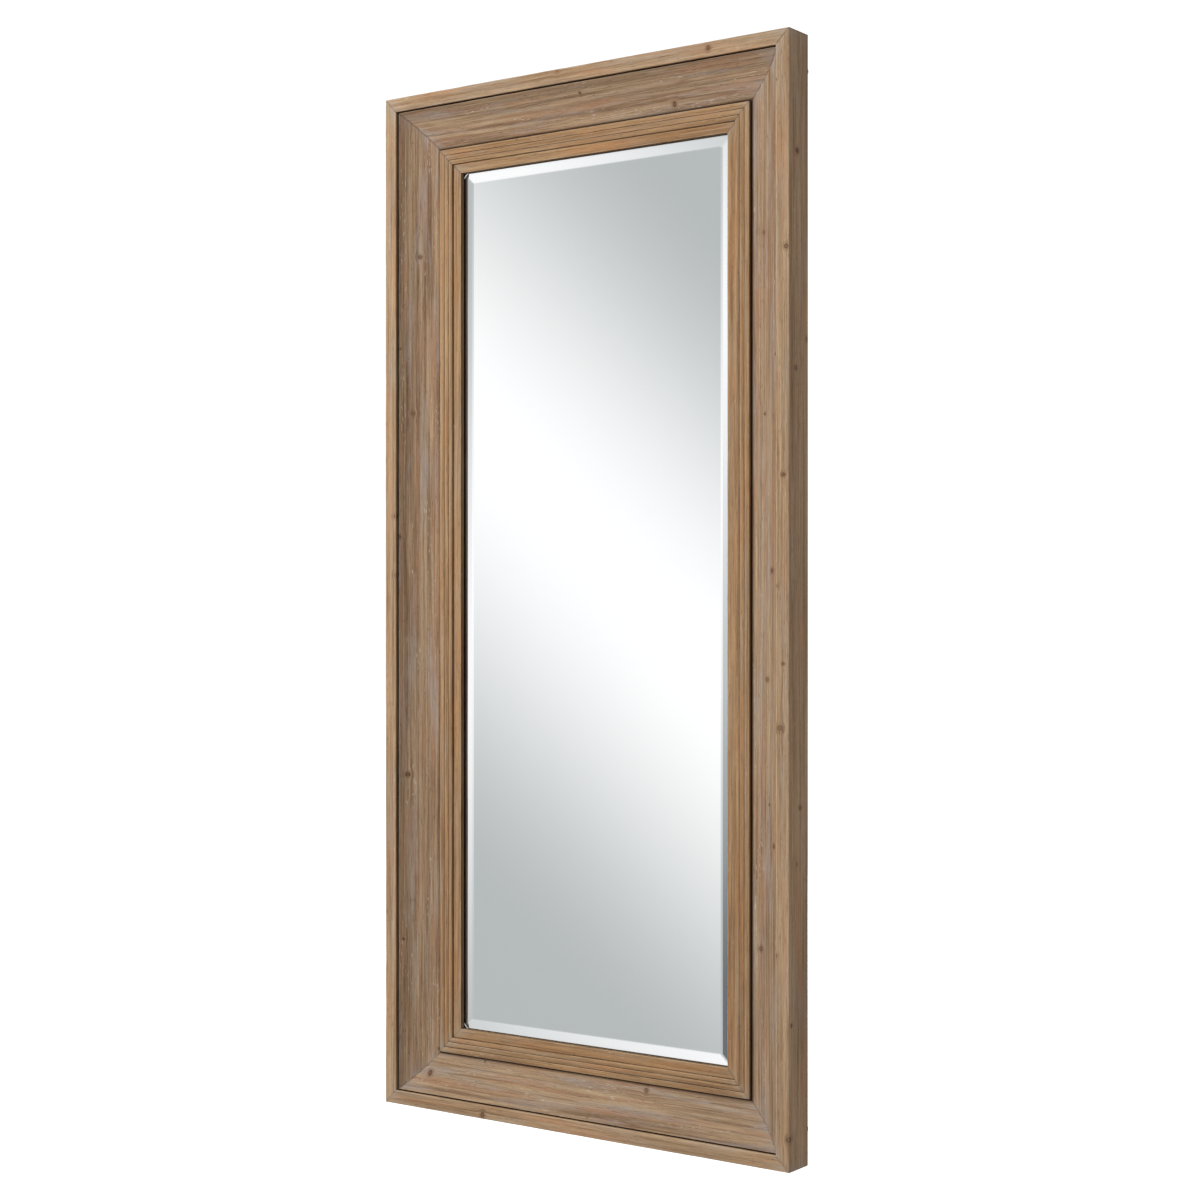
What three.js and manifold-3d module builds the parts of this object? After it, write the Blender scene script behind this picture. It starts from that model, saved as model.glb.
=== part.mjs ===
// A tall framed floor mirror: bevelled glass in a wooden frame of three nested mouldings, with a back
// board, corner gussets and four D-ring hangers.  Millimetres, +Z up, the glass faces -Y, and the
// origin is on the floor under the middle of the object.
//
// Two measures place everything in the frame's section:
//   inset  how far a point lies in from the outer edge of the frame
//   depth  how far a point lies behind the front face of the frame

import * as THREE from 'three';
import { mergeVertices } from 'three/addons/utils/BufferGeometryUtils.js';
import Module from 'manifold-3d';

const wasm = await Module();
wasm.setup();

// ---------------------------------------------------------------- driving dimensions

const HEIGHT = 1880;
const WIDTH = 878;
const GAP = 0.3;                      // between pieces that touch
const HOLE_PLAY = 0.3;                // between a fastener and the wall of its hole

// outer frame: square boards on edge
const BOARD_THICKNESS = 25.4;
const ARRIS_RADIUS = 2.2;             // the eased long edges
const BACK_RECESS = 5.3;              // how far the boards stand behind the mouldings

// cove: a wide hollow moulding that falls towards the glass
const COVE_SET_BACK = 6.5;            // depth of its outer edge
const OUTER_QUIRK_WIDTH = 1.8;        // shadow line between board and cove
const OUTER_QUIRK_DEPTH = 9;
const COVE_WIDTH = 66.8;
const COVE_FALL = 37;
const COVE_SAGITTA = 6.5;             // how hollow the arc is at its middle
const FILLET_WIDTH = 5.2;             // the flat at the foot of the cove
const FILLET_STEP = 0.8;
const INNER_QUIRK_WIDTH = 1.4;        // shadow line between cove and reeds
const INNER_QUIRK_DEPTH = 5;

// reeded inner moulding: three reeds, then a lip that covers the edge of the glass
const REED_WIDTHS = [10.2, 9.8, 8.8]; // from the outside in
const REED_RISE = 6.1;                // crest of the reeds above the foot of the cove
const REED_CROWN = 0.9;               // how round each reed is
const REED_NOTCH = 1.5;               // depth of the V between two reeds
const LIP_WIDTH = 17.5;
const LIP_FALL = 5.4;                 // from the crest of the reeds down to the lip
const LIP_THICKNESS = 10.9;
const LIP_ARRIS = 0.9;

// mirror glass
const GLASS_THICKNESS = 5;
const GLASS_EDGE_THICKNESS = 2.6;     // what the bevel leaves at the rim
const BEVEL_WIDTH = 22.2;
const GLASS_COVER = 3;                // how far the lip covers the rim
const GLASS_SLACK = 2;                // between the rim and the rebate
const GLASS_CORNER_RADIUS = 20;

// setting blocks under the glass
const BLOCK_LENGTH = 40;
const BLOCK_INSET = 147;              // from the side of the glass to the middle of a block

// back board
const BACK_BOARD_THICKNESS = 3;
const BACK_BOARD_LAP = 29;            // how far it laps the moulding outside the rebate
const BACK_SCREW_INSET = 11;          // from the edge of the board
const STILE_SCREWS = 4;
const STILE_SCREW_MARGIN = 70;        // from the ends of the board

// corner gussets and mitre biscuits
const GUSSET_LAP = 5;                 // how far its long edge laps the corner of the reeded moulding
const GUSSET_TIP = 14;                // blunt end of each leg
const BISCUIT_LENGTH = 56;
const BISCUIT_WIDTH = 23;
const BISCUIT_THICKNESS = 4;
const BISCUIT_BACK_COVER = 7.5;       // wood behind a biscuit

// D-ring strap hangers
const WIRE = 4;
const RING_HALF_WIDTH = 15;           // to the middle of the wire
const RING_CORNER = 5;
const RING_LEG = 4;
const STRAP_WIDTH = 16;
const STRAP_THICKNESS = 2;
const STRAP_LENGTH = 62;              // from the eye to the far end
const EYE_PLAY = 0.4;                 // between wire and eye
const EYE_END_ANGLE = 205;            // where the rolled eye stops, in degrees
const STRAP_SCREW_PITCH = 18;
const STRAP_SCREW_MARGIN = 10;        // from the far end
const PORTRAIT_HANGER_DROP = 260;     // from the top of the frame to the eyes on the stiles
const LANDSCAPE_HANGER_DROP = 230;    // from the right side to the eyes on the rails

// screws
const SCREW_HEAD = 8;
const SCREW_HEAD_HEIGHT = 2.2;
const SCREW_SHANK = 3.4;
const BACK_SCREW_LENGTH = 14;
const STRAP_SCREW_LENGTH = 18;
const SCREW_TIP = 4;
const CROSS_LENGTH = 4.4;             // cross recess in the head
const CROSS_WIDTH = 1.1;
const CROSS_DEPTH = 1.2;

// wall pads
const PAD_DIAMETER = 22;
const PAD_THICKNESS = 4;
const PAD_CORNER_INSET = 60;          // from the top or bottom edge of the frame

// ---------------------------------------------------------------- places worked out from them

const COVE_OUTER = BOARD_THICKNESS + OUTER_QUIRK_WIDTH;
const COVE_INNER = COVE_OUTER + COVE_WIDTH;
const FILLET_END = COVE_INNER + FILLET_WIDTH;
const COVE_FOOT = COVE_SET_BACK + COVE_FALL;
const FILLET_DEPTH = COVE_FOOT + FILLET_STEP;
const REED_START = FILLET_END + INNER_QUIRK_WIDTH;
const CREST = FILLET_DEPTH - REED_RISE;
const LIP_START = REED_START + REED_WIDTHS.reduce((sum, width) => sum + width, 0);
const LIP_END = LIP_START + LIP_WIDTH;
const LIP_DEPTH = CREST + LIP_FALL;
const LIP_BACK = LIP_DEPTH + LIP_THICKNESS;

const GLASS_INSET = LIP_END - GLASS_COVER;
const REBATE_INSET = GLASS_INSET - GLASS_SLACK;
const BEVEL_FALL = GLASS_THICKNESS - GLASS_EDGE_THICKNESS;
const COVERED_SHARE = GLASS_COVER / BEVEL_WIDTH;
const GLASS_RIM_DEPTH = LIP_BACK + GAP + BEVEL_FALL * COVERED_SHARE;
const GLASS_FRONT = GLASS_RIM_DEPTH - BEVEL_FALL;
const GLASS_BACK = GLASS_FRONT + GLASS_THICKNESS;
const MOULDING_BACK = GLASS_BACK;
const FRAME_DEPTH = MOULDING_BACK + BACK_RECESS;
const TOTAL_DEPTH = FRAME_DEPTH + GAP + PAD_THICKNESS;
const FRONT_Y = -TOTAL_DEPTH / 2;     // the front face of the frame

const BACK_BOARD_INSET = REBATE_INSET - BACK_BOARD_LAP;
const BACK_BOARD_FRONT = MOULDING_BACK + GAP;
const BACK_BOARD_BACK = BACK_BOARD_FRONT + BACK_BOARD_THICKNESS;
const SCREW_LINE = BACK_BOARD_INSET + BACK_SCREW_INSET;

const EYE_INNER = WIRE / 2 + EYE_PLAY;
const EYE_OUTER = EYE_INNER + STRAP_THICKNESS;
const HANGER_BACK = MOULDING_BACK + GAP;
const HANGER_AXIS = HANGER_BACK + EYE_OUTER;
const STRAP_FACE = HANGER_BACK + STRAP_THICKNESS;
const HANGER_INSET = (BOARD_THICKNESS + REED_START) / 2;
const STRAP_SCREWS = [0, 1].map((i) => STRAP_LENGTH - STRAP_SCREW_MARGIN - i * STRAP_SCREW_PITCH);

// ---------------------------------------------------------------- materials

const paint = (color, roughness, metalness = 0) =>
  new THREE.MeshStandardMaterial({ color, roughness, metalness });

const FINISH = {
  boardWood: () => paint(0xa88e75, 0.62),
  coveWood: () => paint(0x967c65, 0.66),
  reedWood: () => paint(0x9d7e5f, 0.64),
  mirror: () => paint(0xd6dcdb, 0.03, 1),
  hardboard: () => paint(0x6f5339, 0.8),
  plywood: () => paint(0xc9a878, 0.75),
  beech: () => paint(0xc79f6e, 0.7),
  rubber: () => paint(0x262626, 0.85),
  zinc: () => paint(0xb9bcc0, 0.35, 1),
  felt: () => paint(0x5b4a3c, 0.95),
};

// ---------------------------------------------------------------- solids

// joins and cuts work on closed meshes whose shared corners are merged
function solid(geometry) {
  const bare = geometry.clone();
  bare.deleteAttribute('normal');
  bare.deleteAttribute('uv');
  const merged = mergeVertices(bare, 1e-4);
  return new wasm.Manifold(new wasm.Mesh({
    numProp: 3,
    vertProperties: new Float32Array(merged.attributes.position.array),
    triVerts: new Uint32Array(merged.index.array),
  }));
}

function geometryOf(manifold) {
  const mesh = manifold.getMesh();
  const geometry = new THREE.BufferGeometry();
  geometry.setAttribute('position', new THREE.BufferAttribute(new Float32Array(mesh.vertProperties), 3));
  geometry.setIndex(new THREE.BufferAttribute(new Uint32Array(mesh.triVerts), 1));
  geometry.computeVertexNormals();
  return geometry;
}

const cut = (geometry, tools) =>
  geometryOf(tools.reduce((left, tool) => left.subtract(solid(tool)), solid(geometry)));

const keep = (geometry, tool) => geometryOf(solid(geometry).intersect(solid(tool)));

// a plain round bar along Y, from one depth to another
function roundBar(diameter, fromY, toY, sides = 16) {
  const bar = new THREE.CylinderGeometry(diameter / 2, diameter / 2, toY - fromY, sides);
  return bar.translate(0, (fromY + toY) / 2, 0);
}

// a flat plate: an outline in X and Z given its thickness from one depth to another
function plate(outline, fromY, toY, curveSegments = 12) {
  const flat = new THREE.ExtrudeGeometry(outline, {
    depth: toY - fromY,
    bevelEnabled: false,
    curveSegments,
  });
  // the outline's y becomes Z and the thickness runs back along +Y
  return flat.rotateX(Math.PI / 2).translate(0, toY, 0);
}

const evenly = (count, first, last) =>
  Array.from({ length: count }, (_, i) => first + ((last - first) * i) / (count - 1));

// ---------------------------------------------------------------- frame sections

// points on a circular arc from one point to another; a positive sagitta bulges towards more depth
function arc(from, to, sagitta, steps) {
  const chord = to.clone().sub(from);
  const half = chord.length() / 2;
  const bulge = Math.abs(sagitta);
  const radius = (half * half + bulge * bulge) / (2 * bulge);
  const along = chord.clone().normalize();
  const across = new THREE.Vector2(along.y, -along.x).multiplyScalar(Math.sign(sagitta));
  const middle = from.clone().add(to).multiplyScalar(0.5);
  const centre = middle.addScaledVector(across, bulge - radius);
  const spread = Math.asin(half / radius);
  return evenly(steps + 1, -spread, spread).map((angle) => centre.clone()
    .addScaledVector(along, radius * Math.sin(angle))
    .addScaledVector(across, radius * Math.cos(angle)));
}

// a section's points are (depth, inset)
const at = (inset, depth) => new THREE.Vector2(depth, inset);

function boardSection() {
  const r = ARRIS_RADIUS;
  const softness = r * (1 - Math.SQRT1_2);
  const corner = (inset, depth, insetWay, depthWay) => [
    at(inset + insetWay * r, depth),
    at(inset + insetWay * softness, depth + depthWay * softness),
    at(inset, depth + depthWay * r),
  ];
  return [
    ...corner(0, 0, 1, 1),
    ...corner(0, FRAME_DEPTH, 1, -1).reverse(),
    at(BOARD_THICKNESS, FRAME_DEPTH),
    ...corner(BOARD_THICKNESS, 0, -1, 1).reverse(),
  ];
}

function coveSection() {
  const quirkFloor = COVE_SET_BACK + OUTER_QUIRK_DEPTH;
  const innerFloor = FILLET_DEPTH + INNER_QUIRK_DEPTH;
  const glueSide = BOARD_THICKNESS + GAP;
  const reedSide = REED_START - GAP;
  return [
    at(glueSide, MOULDING_BACK),
    at(glueSide, quirkFloor),
    at(COVE_OUTER, quirkFloor),
    ...arc(at(COVE_OUTER, COVE_SET_BACK), at(COVE_INNER, COVE_FOOT), COVE_SAGITTA, 12),
    at(COVE_INNER, FILLET_DEPTH),
    at(FILLET_END, FILLET_DEPTH),
    at(FILLET_END, innerFloor),
    at(reedSide, innerFloor),
    at(reedSide, MOULDING_BACK),
  ];
}

function reedSection() {
  const points = [at(REED_START, MOULDING_BACK)];
  const shoulder = REED_CROWN + REED_NOTCH;
  let start = REED_START;
  for (const width of REED_WIDTHS) {
    const end = start + width;
    const outer = at(start + REED_NOTCH / 2, CREST + REED_CROWN);
    const inner = at(end - REED_NOTCH / 2, CREST + REED_CROWN);
    points.push(at(start, CREST + shoulder), ...arc(outer, inner, -REED_CROWN, 6));
    start = end;
  }
  points.push(
    at(LIP_START, CREST + shoulder),
    at(LIP_START, LIP_DEPTH),
    at(LIP_END - LIP_ARRIS, LIP_DEPTH),
    at(LIP_END, LIP_DEPTH + LIP_ARRIS),
    at(LIP_END, LIP_BACK),
    at(REBATE_INSET, LIP_BACK),
    at(REBATE_INSET, MOULDING_BACK),
  );
  return points;
}

// a bar with this section, its ends cut to 45 degrees; X runs along it and Z is the inset
function mitredBar(section, length) {
  const bar = new THREE.ExtrudeGeometry(new THREE.Shape(section), { depth: 1, bevelEnabled: false });
  const place = bar.attributes.position;
  const joint = GAP * Math.SQRT1_2;
  for (let i = 0; i < place.count; i += 1) {
    const depth = place.getX(i);
    const inset = place.getY(i);
    const halfLength = length / 2 - inset - joint;
    place.setXYZ(i, place.getZ(i) > 0.5 ? halfLength : -halfLength, depth, inset);
  }
  bar.computeVertexNormals();
  return bar;
}

// ---------------------------------------------------------------- assembly

const mirror = new THREE.Group();
mirror.position.y = FRONT_Y;

function add(name, geometry, finish, place = [0, 0, 0], turnY = 0) {
  const mesh = new THREE.Mesh(geometry, finish());
  mesh.name = name;
  mesh.position.set(...place);
  mesh.rotation.y = turnY;
  mirror.add(mesh);
}

// the four sides of the frame: where each starts and how a bar lying on the floor turns into it
const SIDES = [
  { name: 'rail_bottom', length: WIDTH, place: [0, 0, 0], turn: 0 },
  { name: 'rail_top', length: WIDTH, place: [0, 0, HEIGHT], turn: Math.PI },
  { name: 'stile_left', length: HEIGHT, place: [-WIDTH / 2, 0, HEIGHT / 2], turn: Math.PI / 2 },
  { name: 'stile_right', length: HEIGHT, place: [WIDTH / 2, 0, HEIGHT / 2], turn: -Math.PI / 2 },
];

// where a point of the whole mirror lies in a side's own bar
function inBar(side, x, z) {
  const point = new THREE.Vector3(x - side.place[0], 0, z - side.place[2]);
  return point.applyAxisAngle(new THREE.Vector3(0, 1, 0), -side.turn);
}

// the corners: which way each one points, and the mitres that meet there
const CORNERS = [
  { name: 'bottom_left', x: -1, z: -1 },
  { name: 'bottom_right', x: 1, z: -1 },
  { name: 'top_left', x: -1, z: 1 },
  { name: 'top_right', x: 1, z: 1 },
];

// a point in from a corner by the same inset on both sides
const fromCorner = (corner, inset) => [
  corner.x * (WIDTH / 2 - inset),
  HEIGHT / 2 + corner.z * (HEIGHT / 2 - inset),
];

// ---------------------------------------------------------------- fasteners

function screw(length) {
  const head = SCREW_HEAD / 2;
  const shank = SCREW_SHANK / 2;
  const crown = evenly(3, 0, Math.PI / 2).map((angle) => new THREE.Vector2(
    head * Math.cos(angle),
    SCREW_HEAD_HEIGHT * (0.3 + 0.7 * Math.sin(angle)),
  ));
  crown[crown.length - 1].x = 0;
  const profile = [
    new THREE.Vector2(0, -length),
    new THREE.Vector2(shank, SCREW_TIP - length),
    new THREE.Vector2(shank, 0),
    new THREE.Vector2(head, 0),
    ...crown,
  ];
  const body = new THREE.LatheGeometry(profile, 12);
  const slotHeight = CROSS_DEPTH * 2;
  const slots = [[CROSS_LENGTH, CROSS_WIDTH], [CROSS_WIDTH, CROSS_LENGTH]].map(([x, z]) =>
    new THREE.BoxGeometry(x, slotHeight, z).translate(0, SCREW_HEAD_HEIGHT, 0));
  return cut(body, slots);
}

const screwHole = (x, z, fromY, toY) =>
  roundBar(SCREW_SHANK + 2 * HOLE_PLAY, fromY, toY).translate(x, 0, z);

// ---------------------------------------------------------------- where the fasteners go

const boardLow = BACK_BOARD_INSET + STILE_SCREW_MARGIN;
const stileScrewHeights = evenly(STILE_SCREWS, boardLow, HEIGHT - boardLow);
const BACK_SCREWS = [
  ...[-1, 1].flatMap((side) => stileScrewHeights.map((z, i) => ({
    name: `back_screw_${side < 0 ? 'left' : 'right'}_${i + 1}`,
    x: side * (WIDTH / 2 - SCREW_LINE),
    z,
  }))),
  { name: 'back_screw_bottom', x: 0, z: SCREW_LINE },
  { name: 'back_screw_top', x: 0, z: HEIGHT - SCREW_LINE },
];

// Each hanger: the place of its eye, and how far its strap is turned from hanging straight down.
// The pair on the stiles hangs the mirror upright and the pair on the rails hangs it on its side.
const stileX = WIDTH / 2 - HANGER_INSET;
const stileZ = HEIGHT - PORTRAIT_HANGER_DROP;
const railX = WIDTH / 2 - LANDSCAPE_HANGER_DROP;
const HANGERS = [
  { name: 'hanger_left', x: -stileX, z: stileZ, turn: 0 },
  { name: 'hanger_right', x: stileX, z: stileZ, turn: 0 },
  { name: 'side_hanger_bottom', x: railX, z: HANGER_INSET, turn: Math.PI / 2 },
  { name: 'side_hanger_top', x: railX, z: HEIGHT - HANGER_INSET, turn: Math.PI / 2 },
];

// a point `away` down the strap of a hanger
function downStrap(hanger, away) {
  const way = new THREE.Vector3(0, 0, -1).applyAxisAngle(new THREE.Vector3(0, 1, 0), hanger.turn);
  return [hanger.x + way.x * away, hanger.z + way.z * away];
}

const STRAP_SCREW_PLACES = HANGERS.flatMap((hanger) =>
  STRAP_SCREWS.map((away, i) => {
    const [x, z] = downStrap(hanger, away);
    return { name: `${hanger.name}_screw_${i + 1}`, x, z };
  }));

// ---------------------------------------------------------------- frame mouldings

function biscuit(play = 0) {
  const half = BISCUIT_LENGTH / 2 + play;
  const side = BISCUIT_WIDTH / 2 + play;
  const radius = (half * half + side * side) / (2 * side);
  const spread = Math.asin(half / radius);
  const outline = new THREE.Shape();
  outline.absarc(0, side - radius, radius, Math.PI / 2 - spread, Math.PI / 2 + spread, false);
  outline.absarc(0, radius - side, radius, -Math.PI / 2 - spread, -Math.PI / 2 + spread, false);
  const back = MOULDING_BACK - BISCUIT_BACK_COVER;
  return plate(outline, back - BISCUIT_THICKNESS - play, back + play, 8);
}

// a biscuit lies across a mitre, its length along the joint
const biscuitInset = (COVE_OUTER + FILLET_END) / 2 + FILLET_WIDTH;
const biscuitTurn = (corner) => (corner.x * corner.z > 0 ? -Math.PI / 4 : Math.PI / 4);

function biscuitSlots(side) {
  return CORNERS.map((corner) => {
    const [x, z] = fromCorner(corner, biscuitInset);
    const slot = biscuit(GAP).rotateY(biscuitTurn(corner)).translate(x, 0, z);
    return slot.translate(-side.place[0], 0, -side.place[2]).rotateY(-side.turn);
  });
}

function pilotHoles(side, screws, fromY, toY, outerInset, innerInset) {
  const holes = [];
  for (const { x, z } of screws) {
    const spot = inBar(side, x, z);
    const onBar = spot.z > outerInset && spot.z < innerInset && Math.abs(spot.x) < side.length / 2 - spot.z;
    if (onBar) holes.push(screwHole(spot.x, spot.z, fromY, toY));
  }
  return holes;
}

for (const side of SIDES) {
  const placed = [side.place, side.turn];
  const backScrewEnd = BACK_BOARD_BACK - BACK_SCREW_LENGTH - HOLE_PLAY;
  const strapScrewEnd = STRAP_FACE - STRAP_SCREW_LENGTH - HOLE_PLAY;
  const past = MOULDING_BACK + GAP;

  const cove = mitredBar(coveSection(), side.length);
  const coveCuts = [
    ...biscuitSlots(side),
    ...pilotHoles(side, STRAP_SCREW_PLACES, strapScrewEnd, past, BOARD_THICKNESS, REED_START),
  ];
  const reeds = mitredBar(reedSection(), side.length);
  const reedCuts = pilotHoles(side, BACK_SCREWS, backScrewEnd, past, REED_START, LIP_END);

  add(`outer_${side.name}`, mitredBar(boardSection(), side.length), FINISH.boardWood, ...placed);
  add(`cove_${side.name}`, cut(cove, coveCuts), FINISH.coveWood, ...placed);
  add(`reeded_${side.name}`, cut(reeds, reedCuts), FINISH.reedWood, ...placed);
}

// ---------------------------------------------------------------- glass

function roundedRectangle(halfX, halfZ, radius, segments) {
  const points = [];
  for (const [x, z, from] of [[1, 1, 0], [-1, 1, 1], [-1, -1, 2], [1, -1, 3]]) {
    for (const angle of evenly(segments + 1, from * Math.PI / 2, (from + 1) * Math.PI / 2)) {
      points.push([x * (halfX - radius) + radius * Math.cos(angle), z * (halfZ - radius) + radius * Math.sin(angle)]);
    }
  }
  return points;
}

// front panel, bevel, rim and back of the glass; each rim point belongs to the nearest panel corner
function bevelledGlass() {
  const halfX = WIDTH / 2 - GLASS_INSET;
  const halfZ = HEIGHT / 2 - GLASS_INSET;
  const segments = 6;
  const rim = roundedRectangle(halfX, halfZ, GLASS_CORNER_RADIUS, segments);
  const panelX = halfX - BEVEL_WIDTH;
  const panelZ = halfZ - BEVEL_WIDTH;
  const panel = [[1, 1], [-1, 1], [-1, -1], [1, -1]].map(([x, z]) => [x * panelX, z * panelZ]);
  const perCorner = segments + 1;
  const count = rim.length;
  const points = [
    ...rim.map(([x, z]) => [x, GLASS_RIM_DEPTH, z]),
    ...rim.map(([x, z]) => [x, GLASS_BACK, z]),
    ...panel.map(([x, z]) => [x, GLASS_FRONT, z]),
  ];
  const faces = [];
  for (let i = 0; i < count; i += 1) {
    const next = (i + 1) % count;
    const corner = 2 * count + Math.floor(i / perCorner);
    const nextCorner = 2 * count + Math.floor(next / perCorner);
    faces.push([i, next + count, next], [i, i + count, next + count]);
    faces.push([i, next, corner]);
    if (nextCorner !== corner) faces.push([next, nextCorner, corner]);
    if (i > 0 && next > 0) faces.push([count, count + next, count + i]);
  }
  const first = 2 * count;
  faces.push([first, first + 1, first + 2], [first, first + 2, first + 3]);
  const geometry = new THREE.BufferGeometry();
  geometry.setAttribute('position', new THREE.Float32BufferAttribute(points.flat(), 3));
  geometry.setIndex(faces.flat());
  geometry.computeVertexNormals();
  return geometry;
}

add('mirror_glass', bevelledGlass(), FINISH.mirror, [0, 0, HEIGHT / 2]);

const glassWidth = WIDTH - 2 * GLASS_INSET;
for (const side of [-1, 1]) {
  const height = GLASS_SLACK - 2 * GAP;
  const block = new THREE.BoxGeometry(BLOCK_LENGTH, GLASS_EDGE_THICKNESS - GAP, height);
  const middleY = (GLASS_RIM_DEPTH + GLASS_BACK) / 2;
  const x = side * (glassWidth / 2 - BLOCK_INSET);
  const name = `setting_block_${side < 0 ? 'left' : 'right'}`;
  add(name, block, FINISH.rubber, [x, middleY, REBATE_INSET + GAP + height / 2]);
}

// ---------------------------------------------------------------- back board and its screws

function backBoard() {
  const x = WIDTH / 2 - BACK_BOARD_INSET;
  const z = HEIGHT / 2 - BACK_BOARD_INSET;
  const outline = new THREE.Shape([[-x, -z], [x, -z], [x, z], [-x, z]].map(([u, v]) => new THREE.Vector2(u, v)));
  for (const spot of BACK_SCREWS) {
    const hole = new THREE.Path();
    hole.absarc(spot.x, spot.z - HEIGHT / 2, SCREW_SHANK / 2 + HOLE_PLAY, 0, Math.PI * 2, true);
    outline.holes.push(hole);
  }
  return plate(outline, BACK_BOARD_FRONT, BACK_BOARD_BACK, 4);
}

add('back_board', backBoard(), FINISH.hardboard, [0, 0, HEIGHT / 2]);

for (const spot of BACK_SCREWS) {
  const seat = BACK_BOARD_BACK + GAP;
  add(spot.name, screw(BACK_SCREW_LENGTH), FINISH.zinc, [spot.x, seat, spot.z]);
}

// ---------------------------------------------------------------- corner joints

// a gusset fills the recess behind a corner; its legs run along the two boards
function gusset(corner) {
  const leg = 2 * (REED_START + GUSSET_LAP - BOARD_THICKNESS - GAP);
  const tip = GUSSET_TIP;
  const outline = [[0, 0], [leg, 0], [leg, tip], [tip, leg], [0, leg]];
  const shape = new THREE.Shape(outline.map(([x, z]) => new THREE.Vector2(-corner.x * x, -corner.z * z)));
  return plate(shape, MOULDING_BACK + GAP, FRAME_DEPTH);
}

for (const corner of CORNERS) {
  const [gussetX, gussetZ] = fromCorner(corner, BOARD_THICKNESS + GAP);
  add(`gusset_${corner.name}`, gusset(corner), FINISH.plywood, [gussetX, 0, gussetZ]);

  const [x, z] = fromCorner(corner, biscuitInset);
  add(`mitre_biscuit_${corner.name}`, biscuit(), FINISH.beech, [x, 0, z], biscuitTurn(corner));
}

// ---------------------------------------------------------------- hangers

// the strap's edge-on outline: a flat that rolls up into an eye; x is along the strap, y is depth
function strapGeometry() {
  const end = THREE.MathUtils.degToRad(EYE_END_ANGLE);
  const down = -Math.PI / 2;
  const outline = new THREE.Shape();
  outline.moveTo(-STRAP_LENGTH, 0);
  outline.lineTo(0, 0);
  outline.absarc(0, EYE_OUTER, EYE_OUTER, down, end, false);
  outline.absarc(0, EYE_OUTER, EYE_INNER, end, down, true);
  outline.lineTo(-STRAP_LENGTH, STRAP_THICKNESS);
  const rolled = new THREE.ExtrudeGeometry(outline, {
    depth: STRAP_WIDTH,
    bevelEnabled: false,
    curveSegments: 12,
  });
  // along the strap becomes Z, and its width becomes X
  rolled.translate(0, 0, -STRAP_WIDTH / 2).rotateY(-Math.PI / 2);

  const half = STRAP_WIDTH / 2;
  const blank = new THREE.Shape();
  blank.moveTo(-half, EYE_OUTER * 2);
  blank.lineTo(-half, half - STRAP_LENGTH);
  blank.absarc(0, half - STRAP_LENGTH, half, Math.PI, 2 * Math.PI, false);
  blank.lineTo(half, EYE_OUTER * 2);
  const trimmed = keep(rolled, plate(blank, -1, EYE_OUTER * 2 + 1, 8));
  const holes = STRAP_SCREWS.map((away) => screwHole(0, -away, -1, STRAP_THICKNESS + 1));
  return cut(trimmed, holes);
}

// the D: a straight bar in the eye, two rounded corners, two short legs and a half circle
function ringGeometry() {
  const path = new THREE.Path();
  const inner = RING_HALF_WIDTH - RING_CORNER;
  const legEnd = -RING_CORNER - RING_LEG;
  path.moveTo(-inner, 0);
  path.lineTo(inner, 0);
  path.absarc(inner, -RING_CORNER, RING_CORNER, Math.PI / 2, 0, true);
  path.lineTo(RING_HALF_WIDTH, legEnd);
  path.absarc(0, legEnd, RING_HALF_WIDTH, 0, -Math.PI, true);
  path.lineTo(-RING_HALF_WIDTH, -RING_CORNER);
  path.absarc(-inner, -RING_CORNER, RING_CORNER, Math.PI, Math.PI / 2, true);

  const steps = 44;
  const centres = path.getSpacedPoints(steps).slice(0, steps).map((p) => new THREE.Vector3(p.x, 0, p.y));
  const loop = new THREE.CatmullRomCurve3(centres, true, 'centripetal');
  const wire = new THREE.TubeGeometry(loop, steps, WIRE / 2, 8, true);
  return geometryOf(solid(wire));
}

for (const hanger of HANGERS) {
  const { name, x, z, turn } = hanger;
  add(`${name}_strap`, strapGeometry(), FINISH.zinc, [x, HANGER_BACK, z], turn);
  add(`${name}_ring`, ringGeometry(), FINISH.zinc, [x, HANGER_AXIS, z], turn);
}

for (const spot of STRAP_SCREW_PLACES) {
  add(spot.name, screw(STRAP_SCREW_LENGTH), FINISH.zinc, [spot.x, STRAP_FACE + GAP, spot.z]);
}

// ---------------------------------------------------------------- wall pads

function pad() {
  const radius = PAD_DIAMETER / 2;
  const edge = PAD_THICKNESS / 4;
  const profile = [
    new THREE.Vector2(0, 0),
    new THREE.Vector2(radius, 0),
    new THREE.Vector2(radius, PAD_THICKNESS - edge),
    new THREE.Vector2(radius - edge, PAD_THICKNESS),
    new THREE.Vector2(0, PAD_THICKNESS),
  ];
  return new THREE.LatheGeometry(profile, 24);
}

for (const corner of CORNERS) {
  const x = corner.x * (WIDTH / 2 - BOARD_THICKNESS / 2);
  const z = HEIGHT / 2 + corner.z * (HEIGHT / 2 - PAD_CORNER_INSET);
  add(`wall_pad_${corner.name}`, pad(), FINISH.felt, [x, FRAME_DEPTH + GAP, z]);
}

export default mirror;
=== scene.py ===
# %% [markdown]
# # A tall framed mirror, leaning or hung
#
# This lesson dresses a finished CAD model. The model gives the places and sizes of every piece. What is
# added here is the look: stained fir with knots and a limed glaze, silvered glass with a wide bevel, and
# the plain hardware on the back. Each step has a short text like this one, and then small cells of code.
#
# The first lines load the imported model, because every later size is read from it.

# %% Load the frame
import math
from typing import NamedTuple

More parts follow.
